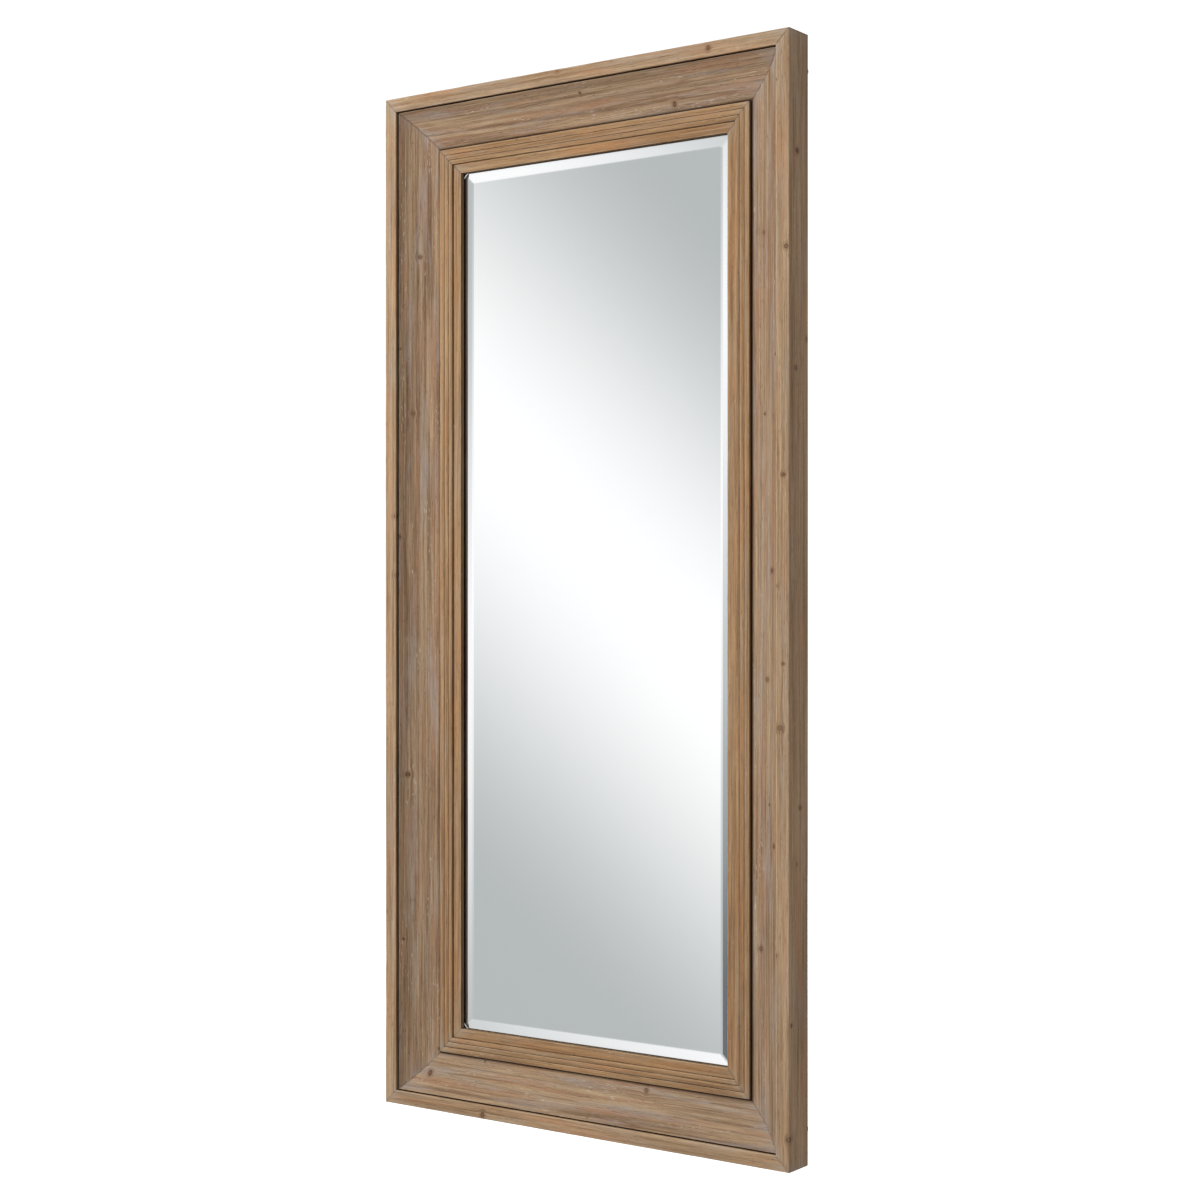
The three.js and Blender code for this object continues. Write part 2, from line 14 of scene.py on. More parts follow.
import bpy
import numpy as np
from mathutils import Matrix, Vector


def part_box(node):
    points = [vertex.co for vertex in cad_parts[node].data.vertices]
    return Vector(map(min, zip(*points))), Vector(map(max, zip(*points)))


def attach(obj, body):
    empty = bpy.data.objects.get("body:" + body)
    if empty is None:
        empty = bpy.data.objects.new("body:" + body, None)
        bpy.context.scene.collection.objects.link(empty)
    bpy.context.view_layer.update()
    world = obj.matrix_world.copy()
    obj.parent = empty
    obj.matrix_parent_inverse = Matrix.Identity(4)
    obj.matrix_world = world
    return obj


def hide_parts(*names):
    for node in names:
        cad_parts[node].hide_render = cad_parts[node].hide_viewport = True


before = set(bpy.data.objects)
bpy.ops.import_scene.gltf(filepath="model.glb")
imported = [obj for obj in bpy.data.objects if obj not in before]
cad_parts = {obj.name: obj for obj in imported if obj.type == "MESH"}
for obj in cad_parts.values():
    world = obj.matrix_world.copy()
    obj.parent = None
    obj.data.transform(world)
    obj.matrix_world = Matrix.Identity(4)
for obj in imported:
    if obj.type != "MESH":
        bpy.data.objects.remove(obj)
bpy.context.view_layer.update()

# %% [markdown]
# ## Sizes that the model already holds
#
# A frame is measured the way a joiner measures it: an *inset* in from the outer edge, and a *depth* back
# from the front face. Both are read from the CAD boxes, so a change in the model moves the looks too.

# %% Read the frame's own measures
MM = 0.001


def span(node_name, axis):
    """The lowest and highest coordinate of a CAD node along one axis."""
    low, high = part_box(node_name)
    return low[axis], high[axis]


LEFT, RIGHT = span("outer_rail_bottom", 0)
FRONT, FRAME_BACK = span("outer_rail_bottom", 1)
BOTTOM, TOP = span("outer_stile_left", 2)
WIDTH, HEIGHT = RIGHT - LEFT, TOP - BOTTOM
BOARD_THICKNESS = span("outer_stile_left", 0)[1] - LEFT
FRAME_DEPTH = FRAME_BACK - FRONT
COVE_START, COVE_END = (x - LEFT for x in span("cove_stile_left", 0))
COVE_DEPTH, MOULDING_BACK = (y - FRONT for y in span("cove_stile_left", 1))
REED_START, LIP_END = (x - LEFT for x in span("reeded_stile_left", 0))
REED_CREST = span("reeded_stile_left", 1)[0] - FRONT
GLASS_INSET = span("mirror_glass", 0)[0] - LEFT
GLASS_FRONT, GLASS_BACK = (y - FRONT for y in span("mirror_glass", 1))
print(f"frame {WIDTH:.3f} x {FRAME_DEPTH:.3f} x {HEIGHT:.3f} m, lip ends {LIP_END / MM:.1f} mm in")

# %% [markdown]
# ## The camera
#
# A tall piece is shown from about its own mid-height with a level camera, so that its uprights stay
# upright. The camera stands well off to one side, which shows the depth of the frame and the slope of
# the moulding.

# %% Place the camera
CAMERA_TURN = math.radians(35.75)     # how far round it stands from straight in front
CAMERA_ASIDE = 1.1998 * HEIGHT
CAMERA_AWAY = 1.6226 * HEIGHT
CAMERA_LEVEL = 0.4929 * HEIGHT
SENSOR = 36
LENS = 64.72
SHIFT_X, SHIFT_Y = -0.0008, 0.0069    # shares of the picture's width

camera_data = bpy.data.cameras.new("camera")
camera_data.sensor_width = SENSOR
camera_data.lens = LENS
camera_data.shift_x = SHIFT_X
camera_data.shift_y = SHIFT_Y
camera = bpy.data.objects.new("camera", camera_data)
camera.location = (CAMERA_ASIDE, FRONT - CAMERA_AWAY, CAMERA_LEVEL)
camera.rotation_euler = (math.pi / 2, 0, CAMERA_TURN)
bpy.context.scene.collection.objects.link(camera)
bpy.context.scene.camera = camera
print("camera at", [round(x, 3) for x in camera.location])

# %% [markdown]
# ## Colours and nodes
#
# Paint charts and screens give colours as sRGB hex codes, but a shader works with linear light. One
# function turns the first into the second, and another adds a shader node with its settings and its
# links in one line. A third builds a finish the way a finisher does, one coat over another.

# %% Helpers for materials
def linear(code):
    """Linear RGBA of an sRGB hex code such as 'a88e75'."""
    srgb = np.array([int(code[i:i + 2], 16) for i in (0, 2, 4)]) / 255
    rgb = np.where(srgb <= 0.04045, srgb / 12.92, ((srgb + 0.055) / 1.055) ** 2.4)
    return tuple(float(c) for c in rgb) + (1.0,)


def feed(tree, made, inputs):
    """Gives a node's sockets their values, or links them to a socket or a node's first live output."""
    for name, value in inputs.items():
        if isinstance(value, bpy.types.Node):
            value = next(output for output in value.outputs if output.enabled)
        if isinstance(value, bpy.types.NodeSocket):
            tree.links.new(value, made.inputs[name])
        else:
            made.inputs[name].default_value = value


def node(tree, kind, inputs, **settings):
    """Adds a shader node. settings are its properties; inputs are its sockets, by name or number."""
    made = tree.nodes.new("ShaderNode" + kind)
    for name, value in settings.items():
        setattr(made, name, value)
    feed(tree, made, inputs)
    return made


def new_material(name):
    """A material with a Principled shader, and its tree and shader."""
    material = bpy.data.materials.new(name)
    material.use_nodes = True
    tree = material.node_tree
    tree.nodes.clear()
    shader = node(tree, "BsdfPrincipled", {})
    node(tree, "OutputMaterial", {"Surface": shader})
    return material, tree, shader


def lay_coats(tree, colour, coats):
    """Colour over colour. Each coat is (source, none at, full at, greatest share, colour of the coat).
    The share rises smoothly from 0 to the greatest between the source's two values."""
    for source, none_at, full_at, most, over in coats:
        share = node(tree, "MapRange", {"Value": source, "From Min": none_at, "From Max": full_at,
                                        "To Max": most}, interpolation_type="SMOOTHSTEP")
        over = linear(over) if isinstance(over, str) else over
        colour = node(tree, "Mix", {"Factor": share, "A": colour, "B": over}, data_type="RGBA")
    return colour


print("a linear mid grey is", round(linear("808080")[0], 3))

# %% [markdown]
# ## Light and surroundings
#
# What a mirror shows is its surroundings, so they matter more here than any lamp. A long white sheet
# hangs across the dark end of the studio: the glass then shows one soft white band that crosses it on
# the slant and falls off to a cool grey on both sides. The world shader draws that band by direction.
# The camera itself sees plain white, as it would with a white backdrop behind the piece.
#
# A direction is told by two tangents from the band's axis: how far it is turned aside, and its slant,
# which is how far aside and up together. The axis is the way that the camera's view takes after the
# glass has turned it back.

# %% The world: a slanting white band
BAND_TURN = CAMERA_TURN
BAND_CENTRE = 0.0239                  # the slant of the band's middle
BAND_HALF_WIDTH = 0.215               # from the band's middle to where it has faded out
SHEET_BOW = 0.05                      # the sheet droops by this much on one side
BOW_STARTS, BOW_ENDS = 0.070, 0.085   # aside
FLAT_STARTS, FLAT_ENDS = -0.070, -0.095           # aside, where a dark flat stands on the other side
SHADE_STARTS, SHADE_ENDS = 0.16, 0.33             # below the band, where that flat darkens
LEAST_AHEAD = 0.05                    # keeps the tangents finite beside the piece and behind it
SIDE_STARTS, SIDE_ENDS = 0.4, 0.1     # cosines from the axis, where the band gives way to the side
BACK_STARTS, BACK_ENDS = -0.2, -0.6   # and the side to the back
BAND_TONE, EDGE_TONE = "ffffff", "b4b8b8"         # the sheet, and the cool grey on both sides of it
SHADE_TONE = "5c6064"                 # the dark flat
SIDE_TONE = "74716d"                  # beside the piece
BACK_TONE = "c4c2bf"                  # behind it
BACKDROP = (1.0, 1.0, 1.0, 1.0)       # what the camera itself sees
WORLD_STRENGTH = 1.06

world = bpy.data.worlds.new("studio")
world.use_nodes = True
sky = world.node_tree
sky.nodes.clear()
way = node(sky, "TexCoord", {}).outputs["Generated"]
TOWARDS = (-math.sin(BAND_TURN), -math.cos(BAND_TURN), 0)
SIDEWAYS = (math.cos(BAND_TURN), -math.sin(BAND_TURN), 0)
towards, sideways, upward = (
    node(sky, "VectorMath", {0: way, 1: direction}, operation="DOT_PRODUCT")
    for direction in (TOWARDS, SIDEWAYS, (0, 0, 1)))
ahead = node(sky, "Math", {0: towards, 1: LEAST_AHEAD}, operation="MAXIMUM")
aslant = node(sky, "Math", {0: sideways, 1: upward}, operation="ADD")
slant = node(sky, "Math", {0: aslant, 1: ahead}, operation="DIVIDE")
aside = node(sky, "Math", {0: sideways, 1: ahead}, operation="DIVIDE")
band_middle = node(sky, "MapRange", {"Value": aside, "From Min": BOW_STARTS, "From Max": BOW_ENDS,
                                     "To Min": BAND_CENTRE, "To Max": BAND_CENTRE + SHEET_BOW})
below_band = node(sky, "Math", {0: band_middle, 1: slant}, operation="SUBTRACT")
off_band = node(sky, "Math", {0: below_band}, operation="ABSOLUTE")
band = lay_coats(sky, linear(BAND_TONE), [(off_band, 0.0, BAND_HALF_WIDTH, 1.0, EDGE_TONE)])
shaded = lay_coats(sky, band, [(below_band, SHADE_STARTS, SHADE_ENDS, 1.0, SHADE_TONE)])
studio = lay_coats(sky, band, [(aside, FLAT_STARTS, FLAT_ENDS, 1.0, shaded),
                               (towards, SIDE_STARTS, SIDE_ENDS, 1.0, SIDE_TONE),
                               (towards, BACK_STARTS, BACK_ENDS, 1.0, BACK_TONE)])
seen = node(sky, "LightPath", {}).outputs["Is Camera Ray"]
tone = node(sky, "Mix", {"Factor": seen, "A": studio, "B": BACKDROP}, data_type="RGBA")
glow = node(sky, "Background", {"Color": tone, "Strength": WORLD_STRENGTH})
node(sky, "OutputWorld", {"Surface": glow})
bpy.context.scene.world = world
bpy.context.scene.view_settings.view_transform = "Standard"
print("world has", len(sky.nodes), "nodes")

# %% The lamps
MIDDLE = (0, 0, HEIGHT / 2)
LAMPS = {                             # place, the side of its square, and power
    "key": ((-1.9, -3.6, 2.4), 2.2, 156),
    "fill": ((2.4, -3.0, 1.1), 2.5, 21),
    "back": ((-1.2, 3.2, 2.2), 2.0, 95),
}


def soft_lamp(name, place, size, power):
    """A square soft box aimed at the middle, which lights the piece but doesn't show in the glass."""
    data = bpy.data.lights.new(name, "AREA")
    data.shape = "SQUARE"
    data.size = size
    data.energy = power
    lamp = bpy.data.objects.new(name, data)
    lamp.location = place
    aim = np.array(MIDDLE) - np.array(place)
    lamp.rotation_euler = (math.atan2(math.hypot(aim[0], aim[1]), -aim[2]), 0,
                           math.atan2(aim[1], aim[0]) - math.pi / 2)
    lamp.visible_glossy = False
    lamp.visible_transmission = False
    bpy.context.scene.collection.objects.link(lamp)


for lamp_name, facts in LAMPS.items():
    soft_lamp(lamp_name, *facts)

# %% The floor
FLOOR_HALF = 12
FLOOR_DROP = 0.5 * MM                 # below the frame, so that the two don't share a plane
PAPER_TONE = "f4f4f2"
PAPER_GLOW = 0.86

floor_corners = [(x, y, BOTTOM - FLOOR_DROP) for x, y in
                 ((-FLOOR_HALF, -FLOOR_HALF), (FLOOR_HALF, -FLOOR_HALF),
                  (FLOOR_HALF, FLOOR_HALF), (-FLOOR_HALF, FLOOR_HALF))]
floor_mesh = bpy.data.meshes.new("floor")
floor_mesh.from_pydata(floor_corners, [], [(0, 1, 2, 3)])
floor = bpy.data.objects.new("floor", floor_mesh)
bpy.context.scene.collection.objects.link(floor)
floor.visible_glossy = False
floor.visible_transmission = False
floor.visible_diffuse = False
paper, paper_tree, paper_shader = new_material("white_paper_sweep")
feed(paper_tree, paper_shader, {
    "Base Color": linear(PAPER_TONE), "Roughness": 0.9, "Specular IOR Level": 0.1,
    "Emission Color": BACKDROP, "Emission Strength": PAPER_GLOW})
floor_mesh.materials.append(paper)
print("floor", 2 * FLOOR_HALF, "m wide")

# %% [markdown]
# ## Meshes from numpy grids
#
# A moulding is one outline carried along a straight line, with both ends cut on the mitre. Worked out as
# whole arrays, such a board is a grid: one direction goes along it, the other goes round its outline.
# That gives clean quads, true measures for the wood's grain, and full control over wear along the edges.

# %% Make a mesh object from arrays
SHARP_TURN = math.radians(32)         # edges that turn by more than this stay crisp
WANDER_VALUES = 4000                  # more than the longest board has pitches


def put_mesh(name, points, quads, caps=()):
    """A smooth-shaded object from points (n, 3), quads (m, 4) and caps, each a ring of corners."""
    mesh = bpy.data.meshes.new(name)
    corners = np.concatenate([np.ravel(quads)] + [np.asarray(cap) for cap in caps]).astype(np.int32)
    sizes = np.concatenate([np.full(len(quads), 4), [len(cap) for cap in caps]]).astype(np.int32)
    starts = np.concatenate([[0], np.cumsum(sizes)[:-1]]).astype(np.int32)
    mesh.vertices.add(len(points))
    mesh.vertices.foreach_set("co", np.asarray(points, np.float32).ravel())
    mesh.loops.add(len(corners))
    mesh.loops.foreach_set("vertex_index", corners)
    mesh.polygons.add(len(sizes))
    mesh.polygons.foreach_set("loop_start", starts)
    mesh.update(calc_edges=True)
    mesh.shade_smooth()
    mesh.set_sharp_from_angle(angle=SHARP_TURN)
    made = bpy.data.objects.new(name, mesh)
    bpy.context.scene.collection.objects.link(made)
    return made


def grid_quads(rows, columns):
    """The quads of a grid whose columns close into a ring, as each corner's row and column."""
    row, column = np.meshgrid(np.arange(rows - 1), np.arange(columns), indexing="ij")
    row, column = row.ravel(), column.ravel()
    corner_rows = np.stack([row, row + 1, row + 1, row], 1)
    corner_columns = np.stack([column, column, column + 1, column + 1], 1)
    return corner_rows, corner_columns


def wander(along, pitch, seed):
    """A smooth random curve in -1..1: random values every pitch, eased from one to the next."""
    values = np.random.default_rng(seed).uniform(-1, 1, WANDER_VALUES)
    step = np.asarray(along) / pitch + WANDER_VALUES // 2
    first = np.floor(step).astype(int)
    share = step - first
    ease = share * share * (3 - 2 * share)
    return values[first] * (1 - ease) + values[first + 1] * ease


print("a ring of 4 carried through 3 stations has", len(grid_quads(3, 4)[0]), "quads")

# %% [markdown]
# ## The outline of a moulding
#
# Every outline is a ring of corners, each an inset and a depth, listed forward up the outside, inward
# across the face and backward down the inside. A corner may be eased, which draws a short curve through
# it, as a sanding block does, and the ease may change along the board: hands and feet wear an arris more
# in one place than in another. Each corner also says how much painted shade lies in it, a darkening of
# the recesses where shade falls, and which coat the next face has.

# %% Corners and rings
EASE_STEPS = 5
WEAR_SPAN = (0.12, 0.88)              # an eased corner is worn, and given a painted highlight, most in its middle and a little at its ends
STAINED, BARE, BLACKED = 0, 1, 2      # the coats, as material slots


class Corner(NamedTuple):
    """One corner of an outline, in metres. ease is how far from the corner its curve starts, steps is
    how many parts the next face has, its painted shade for a recess is 0 to 1, and coat is that face's
    coat."""
    inset: float
    depth: float
    ease: object = 0.0
    steps: int = 1
    grime: float = 0.0
    coat: int = STAINED


def arc(start, end, sagitta, steps):
    """Corners on a circular arc between two (inset, depth) points, both included. A positive sagitta
    makes the middle deeper. The arc is the circle through both ends and that middle."""
    start, end = np.array(start), np.array(end)
    half = np.linalg.norm(end - start) / 2
    radius = (half ** 2 + sagitta ** 2) / (2 * abs(sagitta))
    angle = np.linspace(-1, 1, steps + 1) * math.asin(half / radius)
    chord = (end - start) / (2 * half)
    across = np.array([-chord[1], chord[0]]) * math.copysign(1, sagitta)
    centre = (start + end) / 2 + across * (abs(sagitta) - radius)
    places = centre + radius * (np.sin(angle)[:, None] * chord + np.cos(angle)[:, None] * across)
    return [Corner(float(inset), float(depth)) for inset, depth in places]


def ring(corners, stations):
    """Every station's outline as points (stations, n, 2), with edge wear and highlight, painted shade and
    coat for each of the n points. An eased corner is the quadratic curve from one side to the other with
    the corner as its handle. Faces are split evenly and take their painted shade from the corners at their
    ends."""
    place = np.array([[c.inset, c.depth] for c in corners], float)
    reach = place - np.roll(place, 1, 0)
    reach /= np.linalg.norm(reach, axis=1)[:, None]
    leave = np.roll(reach, -1, 0)
    ease = np.stack([np.broadcast_to(c.ease, stations) for c in corners], 1)[:, :, None]
    starts, ends = place - reach * ease, place + leave * ease
    share = np.linspace(0, 1, EASE_STEPS)[None, :, None]
    points, edge_wear_and_highlight, grime, coat = [], [], [], []
    for k, corner in enumerate(corners):
        after = (k + 1) % len(corners)
        if np.any(ease[:, k] > 0):
            first, last = starts[:, k, None], ends[:, k, None]
            points.append((1 - share) ** 2 * first + 2 * share * (1 - share) * place[k]
                          + share ** 2 * last)
            edge_wear_and_highlight.append(np.sin(math.pi * np.linspace(*WEAR_SPAN, EASE_STEPS)))
            count = EASE_STEPS
        else:
            points.append(ends[:, k, None])
            edge_wear_and_highlight.append([0.0])
            count = 1
        inner = (np.arange(1, corner.steps) / corner.steps)[None, :, None]
        points.append(ends[:, k, None] * (1 - inner) + starts[:, after, None] * inner)
        edge_wear_and_highlight.append(np.zeros(corner.steps - 1))
        grime.append(np.full(count, corner.grime))
        grime.append(corner.grime + (corners[after].grime - corner.grime) * inner.ravel())
        coat.append(np.full(count + corner.steps - 1, corner.coat))
    return (np.concatenate(points, 1), np.concatenate(edge_wear_and_highlight), np.concatenate(grime),
            np.concatenate(coat))


SQUARE = [Corner(0, 0), Corner(1, 0), Corner(1, 1), Corner(0, 1)]
print("a square has", ring(SQUARE, 2)[0].shape, "points")

# %% [markdown]
# ## The boards
#
# The frame has three rings of four boards: a square-edged outer board on edge, a hollow moulding called
# a cove, and a reeded inner moulding whose lip holds the glass. Each is named for the side it makes.
# A board's knots are found as it is laid, because the grain has to part around them.

# %% Where each side lies
SIDES = {                             # length, then how (along, inset) become X and Z
    "rail_bottom": (WIDTH, lambda s, a: (s, BOTTOM + a)),
    "rail_top": (WIDTH, lambda s, a: (-s, TOP - a)),
    "stile_left": (HEIGHT, lambda s, a: (LEFT + a, HEIGHT / 2 - s)),
    "stile_right": (HEIGHT, lambda s, a: (RIGHT - a, HEIGHT / 2 + s)),
}
print("sides", list(SIDES))

# %% Scatter a board's knots
KNOT_SMALLEST, KNOT_LARGEST = 2.8 * MM, 7 * MM
KNOT_SEED = 700                       # added to a board's own seed
KNOT_PLACE = (0.1, 0.9)               # where in its length of board a knot may lie
KNOT_DARKNESS = (0.45, 0.9)
NO_KNOT = (-1.0, -1.0, MM, 0.0)       # off the board, and without a colour


def scatter_knots(length, low, high, pitch, seed):
    """Rows of (along, round, radius, darkness), on average one knot every pitch. The board is cut into
    equal lengths with one knot at random in each, between the round measures low and high. Small knots
    are the common ones, so a radius is the smallest plus a squared random share."""
    draw = np.random.default_rng(KNOT_SEED + seed)
    count = round(length / pitch) if pitch else 0
    along = (np.arange(count) + draw.uniform(*KNOT_PLACE, count)) * length / max(count, 1)
    radius = KNOT_SMALLEST + (KNOT_LARGEST - KNOT_SMALLEST) * draw.uniform(0, 1, count) ** 2
    around = draw.uniform(low, high, count)
    darkness = draw.uniform(*KNOT_DARKNESS, count)
    return np.concatenate([[NO_KNOT], np.stack([along, around, radius, darkness], 1)])


print("a metre with a knot every 130 mm has", len(scatter_knots(1, 0, 0.1, 130 * MM, 0)) - 1)

# %% Lay one board
STATION_PITCH = 12 * MM
MITRE_JOINT = 0.12 * MM               # the glue line, on each board
MITRE_REACH = 20 * MM                 # how far from a mitre the glaze gathers
GRAIN_SHIFT = np.array([3.1, 0.37])   # from one board's figure to the next, in metres
KNOT_SHADE_LIMIT = 0.5                      # knots keep to faces with less painted shade than this


def lay_board(name, side, corners_at, knot_pitch, seed, materials):
    """A mitred board. The point at station t (-1 to 1) with inset a stands t * (length / 2 - a) along
    the board. Its map 'grain' gives the distance along and round the board; its 'knot' gives each face
    the way to its nearest knot, that knot's radius and how dark it is."""
    length, turn = SIDES[side]
    rows = int(length / STATION_PITCH) | 1
    t = np.linspace(-1, 1, rows)
    section, edge_wear_and_highlight, grime, coat = ring(corners_at(t * length / 2, seed), rows)
    inset, depth = section[..., 0], section[..., 1]
    columns = inset.shape[1]
    s = t[:, None] * (length / 2 - inset - MITRE_JOINT)
    x, z = turn(s, inset)
    row, column = grid_quads(rows, columns)
    quads = row * columns + column % columns
    caps = [np.arange(columns), (rows - 1) * columns + np.arange(columns)[::-1]]
    board = put_mesh(name, np.stack([x, FRONT + depth, z], -1).reshape(-1, 3), quads, caps)

    wrapped = np.concatenate([section, section[:, :1]], 1)
    girth = np.cumsum(np.linalg.norm(np.diff(wrapped, axis=1), axis=2), 1)
    girth = np.concatenate([np.zeros((rows, 1)), girth], 1)
    grain = np.stack([s[row, column % columns] + length / 2, girth[row, column]], -1)
    cap_grain = [np.stack([s[i] + length / 2, girth[i, :columns]], -1) for i in (0, rows - 1)]
    all_grain = np.concatenate([grain.reshape(-1, 2), cap_grain[0], cap_grain[1][::-1]])
    layer = board.data.uv_layers.new(name="grain")
    layer.data.foreach_set("uv", (all_grain + GRAIN_SHIFT * seed).astype(np.float32).ravel())

    shown = girth[0, :columns][(grime < KNOT_SHADE_LIMIT) & (coat == STAINED)]
    spots = scatter_knots(length, shown.min(), shown.max(), knot_pitch, seed)
    middle = grain.mean(1)
    nearest = np.argmin(np.linalg.norm(middle[:, None] - spots[None, :, :2], axis=2), 1)
    away = grain - spots[nearest, None, :2]
    looks = np.broadcast_to(spots[nearest, None, 2:], away.shape[:2] + (2,))
    on_faces = np.concatenate([away, looks], 2).reshape(-1, 4)
    on_caps = np.tile(np.abs(NO_KNOT), (2 * columns, 1))
    knot = board.data.attributes.new("knot", "FLOAT_COLOR", "CORNER").data
    knot.foreach_set("color", np.concatenate([on_faces, on_caps]).ravel())

    to_mitre = (length / 2 - inset - np.abs(s)).ravel()
    # point attributes: edge wear that also carries a painted highlight, painted shade for recesses, and
    # nearness to a mitre
    layers = {"edge_wear_and_highlight": np.tile(edge_wear_and_highlight, rows), "grime": np.tile(grime, rows),
              "mitre": np.exp(-to_mitre / MITRE_REACH)}
    for label, values in layers.items():
        data = board.data.attributes.new(label, "FLOAT", "POINT").data
        data.foreach_set("value", values.astype(np.float32))

    for material in materials:
        board.data.materials.append(material)
    slots = np.concatenate([coat[column[:, 0] % columns], [BARE, BARE]]).astype(np.int32)
    board.data.polygons.foreach_set("material_index", slots)
    board.data.update()
    return board


print("boards take a station every", STATION_PITCH / MM, "mm")

# %% The outer boards' outline
ARRIS = 2.2 * MM                      # how far the long edges are eased
INNER_ARRIS = 0.8 * ARRIS
BACK_ARRIS = 1.5 * MM
OUTER_WEAR = [(0.35, 55 * MM, 0), (0.15, 14 * MM, 40)]
INNER_WEAR = [(0.4, 70 * MM, 80)]
QUIRK_WIDTH, QUIRK_DEPTH = 1.8 * MM, 9 * MM       # the shadow line between the board and the cove


def worn_edge(ease, waves, along, seed):
    """An ease that changes along the board. A wave is (share of it, pitch, added to the seed)."""
    factor = 1
    for share, pitch, shift in waves:
        factor = factor + share * wander(along, pitch, seed + shift)
    return ease * factor


def board_outline(along, seed):
    """A plain rectangle on edge: up the outside, across the narrow face and down the inside."""
    return [
        Corner(0, FRAME_DEPTH, BACK_ARRIS, 12),
        Corner(0, 0, worn_edge(ARRIS, OUTER_WEAR, along, seed), 8),
        Corner(BOARD_THICKNESS, 0, worn_edge(INNER_ARRIS, INNER_WEAR, along, seed), 4),
        # painted shade, full, down the board's inner wall in the quirk
        Corner(BOARD_THICKNESS, COVE_DEPTH + QUIRK_DEPTH, 0, 6, grime=1, coat=BARE),
        Corner(BOARD_THICKNESS, FRAME_DEPTH, BACK_ARRIS / 2, 4, coat=BARE),
    ]


print("outer boards are", round(BOARD_THICKNESS / MM, 2), "mm thick")

# %% The cove's outline
COVE_FALL = 37 * MM
COVE_SAGITTA = 6.5 * MM
COVE_STEPS = 30
COVE_ARRIS = 0.9 * MM
COVE_WEAR = [(0.5, 60 * MM, 0)]
FILLET_WIDTH, FILLET_STEP = 5.2 * MM, 0.8 * MM
FILLET_FOOT, FILLET_ARRIS = 0.2 * MM, 0.5 * MM    # the ease of its two edges
INNER_QUIRK_WIDTH, INNER_QUIRK_DEPTH = 1.4 * MM, 5 * MM
COVE_OUTER = BOARD_THICKNESS + QUIRK_WIDTH
FILLET_END = REED_START - INNER_QUIRK_WIDTH
COVE_INNER = FILLET_END - FILLET_WIDTH
COVE_FOOT = COVE_DEPTH + COVE_FALL


def cove_outline(along, seed):
    """A hollow, one arc from its high outer edge to the low inner one, and a flat fillet below."""
    quirk_floor = COVE_DEPTH + QUIRK_DEPTH
    fillet = COVE_FOOT + FILLET_STEP
    sunk = fillet + INNER_QUIRK_DEPTH
    hollow = arc((COVE_OUTER, COVE_DEPTH), (COVE_INNER, COVE_FOOT), COVE_SAGITTA, COVE_STEPS)
    return [
        Corner(COVE_START, MOULDING_BACK, 0, 4, coat=BARE),
        # painted shade: full in the outer quirk, light at the cove's foot, more towards the fillet's inner
        # edge, full in the inner quirk
        Corner(COVE_START, quirk_floor, 0, 2, grime=1),
        Corner(COVE_OUTER, quirk_floor, 0, 4, grime=1),
        hollow[0]._replace(ease=worn_edge(COVE_ARRIS, COVE_WEAR, along, seed)),
        *hollow[1:-1],
        hollow[-1]._replace(grime=0.06),
        Corner(COVE_INNER, fillet, FILLET_FOOT, 3, grime=0.12),
        Corner(FILLET_END, fillet, FILLET_ARRIS, 3, grime=0.45),
        Corner(FILLET_END, sunk, 0, 1, grime=1),
        Corner(COVE_END, sunk, 0, 2, grime=1, coat=BARE),
        Corner(COVE_END, MOULDING_BACK, 0, 12, coat=BARE),
    ]


print(f"the cove falls {COVE_FALL / MM:.0f} mm over {(COVE_INNER - COVE_OUTER) / MM:.1f} mm")

# %% The reeded moulding's outline
REED_WIDTHS = [10.2 * MM, 9.8 * MM, 8.8 * MM]     # from the outside in
REED_CROWN = 0.9 * MM
REED_STEPS = 8
REED_NOTCH = 1.5 * MM                 # the width and the depth of the V between two reeds
REED_ARRIS = 0.55 * MM
REED_WEAR = [(0.5, 45 * MM, 0)]
LIP_FALL = 5.4 * MM
LIP_THICKNESS = 10.9 * MM
LIP_ARRIS = 1.1 * MM
LIP_WEAR = [(0.4, 80 * MM, 9)]
LIP_SHADOW = 0.7 * MM                 # how far the painted shade reaches out of the corner where the lip starts
STAINED_WALL = 9.2 * MM               # how far down its inner wall the lip is stained, above the black
GLASS_SLACK = 2 * MM
LIP_DEPTH = REED_CREST + LIP_FALL
LIP_BACK = LIP_DEPTH + LIP_THICKNESS
REBATE = GLASS_INSET - GLASS_SLACK


